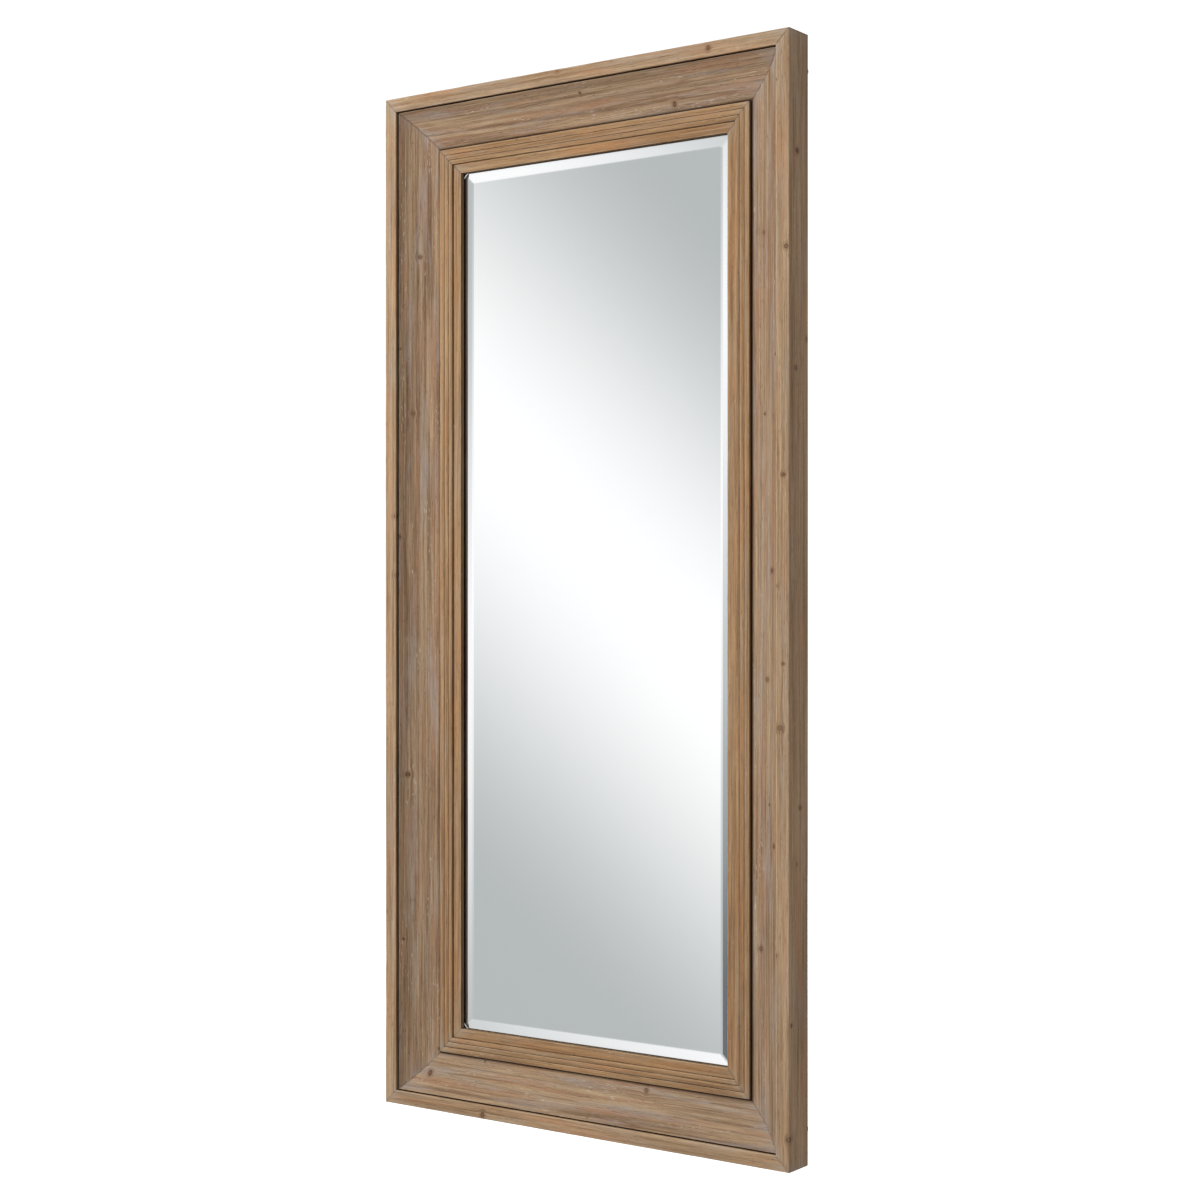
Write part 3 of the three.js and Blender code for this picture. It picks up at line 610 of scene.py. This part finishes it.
def reed_outline(along, seed):
    """Three crowned reeds with V grooves between them, then a step down to the lip over the glass."""
    shoulder = REED_CREST + REED_CROWN
    notch_floor = shoulder + REED_NOTCH
    eased = worn_edge(REED_ARRIS, REED_WEAR, along, seed)
    # painted shade: from the inner quirk up the outer wall of the reeds
    corners = [Corner(REED_START, MOULDING_BACK, 0, 6, coat=BARE),
               Corner(REED_START, COVE_FOOT + INNER_QUIRK_DEPTH, 0, 6, grime=0.55)]
    start = REED_START
    for width in REED_WIDTHS:
        first = start == REED_START
        left = start + (0 if first else REED_NOTCH / 2)
        right = start + width - REED_NOTCH / 2
        crown = arc((left, shoulder), (right, shoulder), -REED_CROWN, REED_STEPS)
        if not first:
            # painted shade down in each V notch between two reeds
            corners.append(Corner(start, notch_floor, 0, 1, grime=0.9))
        corners += [crown[0]._replace(ease=eased), *crown[1:-1], crown[-1]._replace(ease=eased)]
        start += width
    return corners + [
        # painted shade gathered into the corner at the foot of the step down to the lip
        Corner(start, notch_floor, 0, 4, grime=0.05),
        Corner(start, LIP_DEPTH - LIP_SHADOW, 0, 1, grime=0.12),
        Corner(start, LIP_DEPTH, 0, 1, grime=0.8),
        Corner(start + LIP_SHADOW, LIP_DEPTH, 0, 8, grime=0.05),
        Corner(LIP_END, LIP_DEPTH, worn_edge(LIP_ARRIS, LIP_WEAR, along, seed), 3),
        Corner(LIP_END, LIP_DEPTH + STAINED_WALL, 0, 2, coat=BLACKED),
        Corner(LIP_END, LIP_BACK, 0, 2, coat=BLACKED),
        Corner(REBATE, LIP_BACK, 0, 2, coat=BLACKED),
        Corner(REBATE, MOULDING_BACK, 0, 12, coat=BARE),
    ]


OUTLINES = (board_outline, cove_outline, reed_outline)
print("outlines have", [len(outline(np.zeros(1), 1)) for outline in OUTLINES], "corners")

# %% [markdown]
# ## Stained fir
#
# The boards are fir, which has wide soft grain and small hard knots. The wood was wire brushed, stained a
# warm brown, and wiped with a thin grey lime glaze that stays in the low places and dries in streaks. So
# the colour is built in the same order: pale and dark bands of growth, a red warmth in patches, grey
# glaze in other patches, a little white caught on the brush marks, then knots, worn edges lightened
# partly by wear and partly as a painted highlight, and painted shade in the grooves and corners.
#
# Grain runs along a board, so the pattern is drawn in the board's own measures and is stretched some
# forty times. Near a knot the bands part and flow round it: pulling the across measure back towards the
# knot does that. All of it is told in four tables: the patterns, the places where each coat takes, which
# two of those meet, and the coats themselves.

# %% The tables of the fir
PATTERNS = {                          # length and width of one mark, detail and roughness of the noise
    "growth": (330 * MM, 7 * MM, 6, 0.68),        # bands of growth, sawn on the flat
    "late": (260 * MM, 2.6 * MM, 2, 0.55),        # the thin dark line that ends each year
    "fibre": (38 * MM, 1.0 * MM, 3, 0.7),         # coarser than real fibre, to show at this distance
    "drift": (900 * MM, 40 * MM, 2, 0.5),
    "tint": (230 * MM, 17 * MM, 3, 0.55),
    "wipe": (210 * MM, 20 * MM, 5, 0.68),         # the glaze, wiped along the board
    "brush": (13 * MM, 1.9 * MM, 1, 0.5),         # the wire brush's short strokes
    "dry": (150 * MM, 22 * MM, 2, 0.5),
    "rub": (60 * MM, 9 * MM, 3, 0.6),             # along the worn edges and their painted highlight
}
PLACES = {                            # read from, none at, full at, share where there is none, how it rises
    "dryness": ("dry", 0.50, 0.68, 0.0, "SMOOTHSTEP"),
    "wetness": ("dry", 0.58, 0.40, 0.0, "SMOOTHSTEP"),
    "high": ("brush", 0.60, 0.72, 0.0, "LINEAR"),
    "low": ("brush", 0.38, 0.28, 0.0, "LINEAR"),
    "gather": ("wipe", 0.35, 0.62, 0.15, "LINEAR"),
    "at_mitre": ("mitre", 0.86, 0.96, 0.0, "LINEAR"),
    "in_spots": ("rub", 0.35, 0.6, 0.25, "LINEAR"),
    "patchy": ("rub", 0.3, 0.62, 0.15, "LINEAR"),
    "around": ("ragged", 2.9, 1.2, 0.0, "SMOOTHSTEP"),
    "within": ("ragged", 1.35, 0.95, 0.0, "SMOOTHSTEP"),
}
MEETINGS = {                          # two that have to meet, multiplied
    "white": ("high", "dryness"), "black": ("low", "wetness"), "gathered": ("mitre", "gather"),
    "crack": ("at_mitre", "in_spots"), "halo": ("around", "knotty"), "heart": ("within", "knotty"),
    "rubbed_and_highlit": ("edge_wear_and_highlight", "patchy"),
}
COATS = [                             # read from, none at, full at, greatest share, colour
    ("growth", 0.30, 0.60, 1.0, "middle"),
    ("growth", 0.50, 0.76, 1.0, "pale"),
    ("drift", 0.35, 0.70, 0.4, "pale"),
    ("tint", 0.47, 0.70, 0.8, "warm"),
    ("late", 0.50, 0.34, 0.5, "dark"),
    ("wipe", 0.46, 0.72, "glaze_share", "glaze"),
    ("gathered", 0.0, 1.0, 0.6, "glaze"),
    ("crack", 0.0, 1.0, 0.5, "dark"),
    ("fibre", 0.48, 0.32, 0.7, "dark"),
    ("fibre", 0.55, 0.70, 0.45, "pale"),
    ("black", 0.0, 1.0, 0.5, "4f3a29"),
    ("white", 0.0, 1.0, "white_share", "cdc1b2"),
    ("halo", 0.0, 1.0, 0.5, "765641"),
    ("heart", 0.0, 1.0, 0.9, "core"),
    # lighter edges: partly stain rubbed through, partly a painted highlight along the arris
    ("rubbed_and_highlit", 0.0, 1.0, 0.6, "c8ab8d"),
    # painted shade: a near-black brown laid in the quirks, notches and inner corners, where shade falls
    ("grime", 0.0, 0.45, 0.96, "26150b"),
]
WOODS = {                             # each wood's own colours, and how much glaze and white it has
    "stained_fir_board": {"pale": "bfa280", "middle": "a6896a", "dark": "73573f", "warm": "af8463",
                          "glaze": "a4998e", "glaze_share": 0.55, "white_share": 0.4},
    "limed_fir_cove": {"pale": "baa181", "middle": "9d8166", "dark": "664b37", "warm": "a0785d",
                       "glaze": "9d928b", "glaze_share": 0.7, "white_share": 0.65},
    "stained_fir_reed": {"pale": "b99a75", "middle": "a07d59", "dark": "6f5037", "warm": "ac7c53",
                         "glaze": "a09483", "glaze_share": 0.4, "white_share": 0.3},
}
print("fir has", len(PATTERNS), "patterns and", len(COATS), "coats")

# %% The fir material
PATTERN_GAP = 4.0                     # between two patterns' places in the noise
KNOT_ROUND = 1.2                      # a knot's width over its length
KNOT_REACH = 3.6                      # how far, in its own radii, a knot bends the grain
KNOT_PULL = 0.5                       # how much of the way the grain is pulled, at the knot's middle
KNOT_RAGGED = 0.6                     # how much the fibres roughen a knot's edge, in its radii
CORE_EDGE, CORE_MIDDLE = "452c1e", "76543c"
CORE_FADE = (0.75, 0.2)               # where, in its radii, a knot's middle starts and is full
GROWTH_SPAN = (0.3, 0.7)              # from the dark bands to the pale ones
FIR_ROUGHNESS = (0.76, 0.62)          # of the dark bands and of the pale ones
FIBRE_LIFT = 0.6                      # a fibre's height, where the line that ends a year has 1
HEART_LIFT = -0.5                     # a knot's heart stands lower
FIR_BUMP, FIR_RELIEF = 0.6, 0.5 * MM


def stained_fir(name):
    """Brushed, stained and limed fir. Its patterns are noise stretched over the 'grain' map."""
    material, tree, shader = new_material(name)
    grain = node(tree, "SeparateXYZ", {"Vector": node(tree, "UVMap", {}, uv_map="grain")}).outputs
    # the edge wear mask, which also carries a painted highlight, the painted shade of recesses, and the
    # mitres
    found = {label: node(tree, "Attribute", {}, attribute_name=label).outputs["Fac"]
             for label in ("edge_wear_and_highlight", "grime", "mitre")}
    knot = node(tree, "Attribute", {}, attribute_name="knot").outputs
    found["knotty"] = knot["Alpha"]
    to_knot = node(tree, "SeparateXYZ", {"Vector": knot["Vector"]}).outputs
    rounded = node(tree, "Math", {0: to_knot["X"], 1: KNOT_ROUND}, operation="MULTIPLY")
    level = node(tree, "CombineXYZ", {"X": rounded, "Y": to_knot["Y"]})
    distance = node(tree, "VectorMath", {0: level}, operation="LENGTH")
    away = node(tree, "Math", {0: distance, 1: to_knot["Z"]}, operation="DIVIDE")
    pull = node(tree, "MapRange", {"Value": away, "From Min": KNOT_REACH, "From Max": 0.0,
                                   "To Max": KNOT_PULL}, interpolation_type="SMOOTHERSTEP")
    bend = node(tree, "Math", {0: to_knot["Y"], 1: pull}, operation="MULTIPLY")
    parted = node(tree, "Math", {0: grain["Y"], 1: bend}, operation="SUBTRACT")
    flow = node(tree, "CombineXYZ", {"X": grain["X"], "Y": parted})
    for number, (label, (length, width, detail, rough)) in enumerate(PATTERNS.items()):
        place = node(tree, "VectorMath", {0: flow, 1: (1 / length, 1 / width, 0),
                                          2: (0, 0, PATTERN_GAP * number)}, operation="MULTIPLY_ADD")
        found[label] = node(tree, "TexNoise", {"Vector": place, "Scale": 1.0, "Detail": detail,
                                               "Roughness": rough}).outputs["Fac"]

    found["ragged"] = node(tree, "Math", {0: found["fibre"], 1: KNOT_RAGGED, 2: away},
                           operation="MULTIPLY_ADD")
    for label, (source, none_at, full_at, least, rise) in PLACES.items():
        found[label] = node(tree, "MapRange", {"Value": found[source], "From Min": none_at,
                                               "From Max": full_at, "To Min": least},
                            interpolation_type=rise)
    for label, (one, other) in MEETINGS.items():
        found[label] = node(tree, "Math", {0: found[one], 1: found[other]}, operation="MULTIPLY")

    core = lay_coats(tree, linear(CORE_EDGE), [(away, *CORE_FADE, 1.0, CORE_MIDDLE)])
    look = {**WOODS[name], "core": core}
    colour = lay_coats(tree, linear(look["dark"]), [
        (found[source], none_at, full_at, look.get(most, most), look.get(over, over))
        for source, none_at, full_at, most, over in COATS])
    rough = node(tree, "MapRange", {
        "Value": found["growth"], "From Min": GROWTH_SPAN[0], "From Max": GROWTH_SPAN[1],
        "To Min": FIR_ROUGHNESS[0], "To Max": FIR_ROUGHNESS[1]})
    ridges = node(tree, "Math", {0: found["fibre"], 1: FIBRE_LIFT, 2: found["late"]},
                  operation="MULTIPLY_ADD")
    lift = node(tree, "Math", {0: found["heart"], 1: HEART_LIFT, 2: ridges}, operation="MULTIPLY_ADD")
    bump = node(tree, "Bump", {"Height": lift, "Strength": FIR_BUMP, "Distance": FIR_RELIEF})
    feed(tree, shader, {"Base Color": colour, "Roughness": rough, "Normal": bump,
                        "Specular IOR Level": 0.3, "IOR": 1.45})
    return material


board_fir, cove_fir, reed_fir = (stained_fir(name) for name in WOODS)
print("stained firs:", len(WOODS))

# %% [markdown]
# ## Wood without stain, and the black inside edge
#
# Nobody stains the side that meets the wall, so the backs of the boards are raw fir. The rebate is
# painted black, because a silvered glass mirrors the edge that holds it, and raw wood would show there as
# a bright line.

# %% Raw fir and black paint
MARK_SPAN = (0.3, 0.7)                # of the noise, from the first roughness to the second
MARK_COLOURS = (0.32, 0.68)           # and from the first colour to the second
MARK_NOISE = 0.65
MARK_RELIEF = 0.3 * MM


def plain_stuff(name, colours, mark, rough, bump=0.3, detail=4, use_map=False, metallic=0.0):
    """Two colours in marks of the given sizes (X, Y, Z), on the 'grain' map or the object."""
    material, tree, shader = new_material(name)
    if use_map:
        place = node(tree, "UVMap", {}, uv_map="grain")
    else:
        place = node(tree, "TexCoord", {}).outputs["Object"]
    scaled = node(tree, "VectorMath", {0: place, 1: tuple(1 / size for size in mark)},
                  operation="MULTIPLY")
    marks = node(tree, "TexNoise", {"Vector": scaled, "Scale": 1.0, "Detail": detail,
                                    "Roughness": MARK_NOISE}).outputs["Fac"]
    colour = lay_coats(tree, linear(colours[0]), [(marks, *MARK_COLOURS, 1.0, colours[1])])
    raised = node(tree, "Bump", {"Height": marks, "Strength": bump, "Distance": MARK_RELIEF})
    wavering = node(tree, "MapRange", {"Value": marks, "From Min": MARK_SPAN[0],
                                       "From Max": MARK_SPAN[1], "To Min": rough[0],
                                       "To Max": rough[1]})
    feed(tree, shader, {"Base Color": colour, "Roughness": wavering, "Normal": raised,
                        "Metallic": metallic})
    return material


raw_fir = plain_stuff("raw_sawn_fir", ("b08a5c", "d8b98c"), (300 * MM, 6 * MM, 1), (0.88, 0.8),
                      use_map=True)
black_paint = plain_stuff("matt_black_edge_paint", ("0c0b09", "1a1815"), (5 * MM,) * 3, (0.6, 0.5),
                          bump=0.1)
print("without stain:", raw_fir.name, black_paint.name)

# %% [markdown]
# ## The twelve boards
#
# The boards are laid in rings, each with its own seed so that no two have the same figure. Small knots
# turn up every hand's width or so in fir. They lie closer on the outer boards than on the coves, and
# there are none on the reeds, which are cut from clear stock because a knot would break a thin moulding.

# %% Lay the twelve boards
BOARDS = [                            # family, outline, wood, slot, and how far apart its knots are
    ("outer", board_outline, board_fir, "board_wood", 130 * MM),
    ("cove", cove_outline, cove_fir, "cove_wood", 190 * MM),
    ("reeded", reed_outline, reed_fir, "reed_wood", None),
]
seed = 0
for family, outline_of, fir, slot, knot_pitch in BOARDS:
    for side in SIDES:
        seed += 1
        label = f"{family}_{side}"
        board = lay_board(f"{label}_board", side, outline_of, knot_pitch, seed,
                          [fir, raw_fir, black_paint])
        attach(board, "frame")
        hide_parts(label)
print("boards laid:", seed)

# %% [markdown]
# ## The mirror glass
#
# The glass is one sheet with a flat ground and polished bevel on all four sides, mitred at the corners,
# and the four points of its outline are rounded. The silver is on the back, under the glass, so the bevel
# acts as a prism and shows another part of the room than the middle does. That only comes out right if
# the glass is a real body and the silver is its back face, so the piece has two materials.

# %% Glass and silver
GLASS_INDEX = 1.52
SILVER_PATCH = 700 * MM

# Clear float glass, polished, so it has no roughness; it is almost colourless at this thickness.
clear_glass, glass_tree, glass_shader = new_material("clear_float_glass")
feed(glass_tree, glass_shader, {"Base Color": linear("fdfefe"), "Roughness": 0.0, "IOR": GLASS_INDEX,
                                "Transmission Weight": 1.0})

# Wet silvering seen through the glass is nearly a perfect mirror, with a very slow change of tone.
silvering, silver_tree, silver_shader = new_material("wet_silvering")
silver_place = node(silver_tree, "TexCoord", {}).outputs["Object"]
pour = node(silver_tree, "TexNoise", {"Vector": silver_place, "Scale": 1 / SILVER_PATCH,
                                      "Detail": 1.0}).outputs["Fac"]
silver_tone = lay_coats(silver_tree, linear("fcfcfd"), [(pour, 0.3, 0.7, 1.0, "fefefe")])
feed(silver_tree, silver_shader, {"Base Color": silver_tone, "Roughness": 0.0, "Metallic": 1.0})
print("glass with an index of", GLASS_INDEX)

# %% The bevelled sheet
BEVEL_WIDTH = 22.2 * MM
EDGE_THICKNESS = 2.6 * MM
CORNER_RADIUS = 20 * MM
CORNER_STEPS = 8                      # on each side of the mitre
GLASS, SILVER = 0, 1                  # material slots


def bevelled_sheet(name):
    """A sheet whose depth at its front falls evenly with the distance from its nearest side, so that
    each bevel is one plane and two bevels meet on a mitre; quarter circles round its four corners."""
    half = np.array([WIDTH / 2 - GLASS_INSET, HEIGHT / 2 - GLASS_INSET])
    quarter = np.linspace(0, math.pi / 2, 2 * CORNER_STEPS + 1)
    turns = np.array([[-1, -1], [1, -1], [1, 1], [-1, 1]])
    starts = np.array([1, 1.5, 0, 0.5]) * math.pi
    angles = (starts[:, None] + quarter).ravel()
    centres = np.repeat(turns * (half - CORNER_RADIUS), len(quarter), 0)
    rim = centres + CORNER_RADIUS * np.stack([np.cos(angles), np.sin(angles)], 1)
    fall = (GLASS_BACK - GLASS_FRONT) - EDGE_THICKNESS
    to_side = (half - np.abs(rim)).min(1)
    front = GLASS_FRONT + fall * (1 - to_side / BEVEL_WIDTH)
    inner = turns * (half - BEVEL_WIDTH)
    plan = np.concatenate([rim, rim, inner])
    depth = np.concatenate([front, np.full(len(rim), GLASS_BACK), np.full(4, GLASS_FRONT)])
    points = np.stack([plan[:, 0], FRONT + depth, plan[:, 1] + HEIGHT / 2], 1)
    count = len(rim)
    mitres = [k * len(quarter) + CORNER_STEPS for k in range(4)]
    faces = [[2 * count + k for k in range(4)]]
    for k in range(4):
        stretch = [i % count for i in range(mitres[k], mitres[k] + len(quarter) + 1)]
        faces.append(stretch + [2 * count + (k + 1) % 4, 2 * count + k])
    edge = [[i, count + i, count + (i + 1) % count, (i + 1) % count] for i in range(count)]
    back = list(range(2 * count - 1, count - 1, -1))
    mesh = bpy.data.meshes.new(name)
    mesh.from_pydata(points.tolist(), [], faces + edge + [back])
    slots = [GLASS] * (len(faces) + len(edge)) + [SILVER]
    mesh.polygons.foreach_set("material_index", slots)
    sheet = bpy.data.objects.new(name, mesh)
    bpy.context.scene.collection.objects.link(sheet)
    return sheet


mirror = bevelled_sheet("bevelled_mirror_glass")
mirror.data.materials.append(clear_glass)
mirror.data.materials.append(silvering)
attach(mirror, "frame")
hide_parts("mirror_glass")
print("mirror glass", [round(x, 3) for x in mirror.dimensions])

# %% [markdown]
# ## The rings on the back
#
# A hanger's ring is round wire, bent to a D and butt welded. The wire is swept along its middle line: a
# bar on the hinge, two small corners, two short legs and a half circle. Each ring rides on its own body,
# so it can swing.

# %% Bend the wire rings
WIRE = span("hanger_left_ring", 1)[1] - span("hanger_left_ring", 1)[0]
BEND_RADIUS = 5 * MM
RING_LEG = 4 * MM
BEND_STEPS = 6
LOOP_STEPS = 32
WIRE_STEPS = 16                       # round the wire
RINGS = {                             # hanger, and the body that its ring is
    "hanger_left": "ring_left", "hanger_right": "ring_right",
    "side_hanger_bottom": "ring_side_bottom", "side_hanger_top": "ring_side_top",
}


def wire_ring(name, node_name, down):
    """A closed tube round the D's middle line: bar on the hinge, loop hanging along `down`."""
    low, high = (np.array(corner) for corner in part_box(node_name))
    down = np.array(down, float)
    across = np.array([down[2], 0, -down[0]])
    half = (np.abs(across) @ (high - low) - WIRE) / 2
    bar = (low + high) / 2 - down * (np.abs(down) @ (high - low) - WIRE) / 2
    turn = np.linspace(0, math.pi / 2, BEND_STEPS + 1)[:, None]
    bend = np.concatenate([half - BEND_RADIUS + BEND_RADIUS * np.sin(turn),
                           BEND_RADIUS * (1 - np.cos(turn))], 1)
    loop = np.linspace(0, math.pi, LOOP_STEPS + 1)[:, None]
    bow = np.concatenate([half * np.cos(loop), BEND_RADIUS + RING_LEG + half * np.sin(loop)], 1)
    path = np.concatenate([bend, bow, bend[::-1] * [-1, 1]])
    ahead = np.roll(path, -1, 0) - path
    ahead /= np.linalg.norm(ahead, axis=1)[:, None]
    tangent = ahead + np.roll(ahead, 1, 0)
    tangent /= np.linalg.norm(tangent, axis=1)[:, None]
    outward = np.stack([tangent[:, 1], -tangent[:, 0]], 1)
    spin = np.linspace(0, 2 * math.pi, WIRE_STEPS, endpoint=False)
    level = path[:, None] + WIRE / 2 * np.cos(spin)[None, :, None] * outward[:, None]
    rise = np.broadcast_to(WIRE / 2 * np.sin(spin), level.shape[:2])
    points = (bar + level[..., :1] * across + level[..., 1:] * down
              + rise[..., None] * np.array([0, 1, 0]))
    row, column = grid_quads(len(path) + 1, WIRE_STEPS)
    quads = (row % len(path)) * WIRE_STEPS + column % WIRE_STEPS
    return put_mesh(name, points.reshape(-1, 3), quads)


zinc = plain_stuff("bright_zinc_plated_steel", ("b4b7b9", "dcddde"), (3 * MM,) * 3, (0.38, 0.26),
                   bump=0.05, metallic=1.0)
for hanger, body in RINGS.items():
    down = (-1, 0, 0) if hanger.startswith("side") else (0, 0, -1)
    wire = wire_ring(f"{hanger}_wire_ring", f"{hanger}_ring", down)
    wire.data.materials.append(zinc)
    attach(wire, body)
    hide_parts(f"{hanger}_ring")
print("rings of", round(WIRE / MM, 2), "mm wire:", len(RINGS))

# %% [markdown]
# ## The back's plain materials
#
# Nobody sees the back once the piece hangs, so its parts are left as they come: tempered hardboard with
# its dark smooth face, birch plywood gussets that show their plies at the edge, compressed beech
# biscuits, rubber blocks under the glass, and felt pads that keep the wood off the wall. These CAD pieces
# are flat sheets and small turned parts whose shapes are already right, so they keep their meshes and
# only take a material.

# %% Birch plywood
PLY = 1.5 * MM
STREAK = (90 * MM, 5 * MM)            # the length and the width of a streak in the face


def plywood(name, face, dark_ply, light_ply):
    """A streaked face, and plies that change from end grain to side grain through the depth."""
    material, tree, shader = new_material(name)
    place = node(tree, "TexCoord", {}).outputs["Object"]
    depth = node(tree, "SeparateXYZ", {"Vector": place}).outputs["Y"]
    ply = node(tree, "Math", {0: depth, 1: PLY}, operation="PINGPONG")
    normal = node(tree, "NewGeometry", {}).outputs["True Normal"]
    outward = node(tree, "SeparateXYZ", {"Vector": normal}).outputs["Y"]
    flat = node(tree, "Math", {0: outward}, operation="ABSOLUTE")
    streak_place = node(tree, "VectorMath", {0: place, 1: (1 / STREAK[0], 1, 1 / STREAK[1])},
                        operation="MULTIPLY")
    streak = node(tree, "TexNoise", {"Vector": streak_place, "Scale": 1.0,
                                     "Detail": 5.0}).outputs["Fac"]
    edge = lay_coats(tree, linear(light_ply), [(ply, 0.35 * PLY, 0.65 * PLY, 1.0, dark_ply)])
    sheet = lay_coats(tree, linear(face), [(streak, 0.35, 0.7, 0.7, light_ply)])
    colour = lay_coats(tree, edge, [(flat, 0.5, 0.9, 1.0, sheet)])
    bump = node(tree, "Bump", {"Height": streak, "Strength": 0.2, "Distance": MARK_RELIEF})
    feed(tree, shader, {"Base Color": colour, "Roughness": 0.62, "Normal": bump})
    return material


birch = plywood("birch_plywood", "d9bd92", "8a6440", "e2cba4")
print(birch.name, "with plies of", PLY / MM, "mm")

# %% Dress the CAD pieces that stay
STUFFS = {                            # how a node's name starts, and what it is made of
    "back_board": plain_stuff("tempered_hardboard", ("3f2c1e", "755640"), (22 * MM,) * 3,
                              (0.55, 0.4), bump=0.35, detail=9),
    "gusset": birch,
    "mitre_biscuit": plain_stuff("compressed_beech", ("c39a6b", "d8b487"),
                                 (12 * MM, 2 * MM, 2 * MM), (0.7, 0.6)),
    "setting_block": plain_stuff("extruded_black_rubber", ("121212", "222222"), (2 * MM,) * 3,
                                 (0.7, 0.55), bump=0.2),
    "wall_pad": plain_stuff("pressed_brown_felt", ("3d3026", "5d4a3b"), (0.8 * MM,) * 3,
                            (0.98, 0.9), bump=0.8, detail=8),
    "back_screw": zinc,
    "hanger": zinc,
    "side_hanger": zinc,
}
dressed = 0
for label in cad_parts:
    cad = bpy.data.objects.get(label)
    stuff = next((made for start, made in STUFFS.items() if label.startswith(start)), None)
    if stuff and not cad.hide_render:
        for number in range(len(cad.material_slots)):
            cad.material_slots[number].material = stuff
        dressed += 1
print("CAD pieces dressed:", dressed)
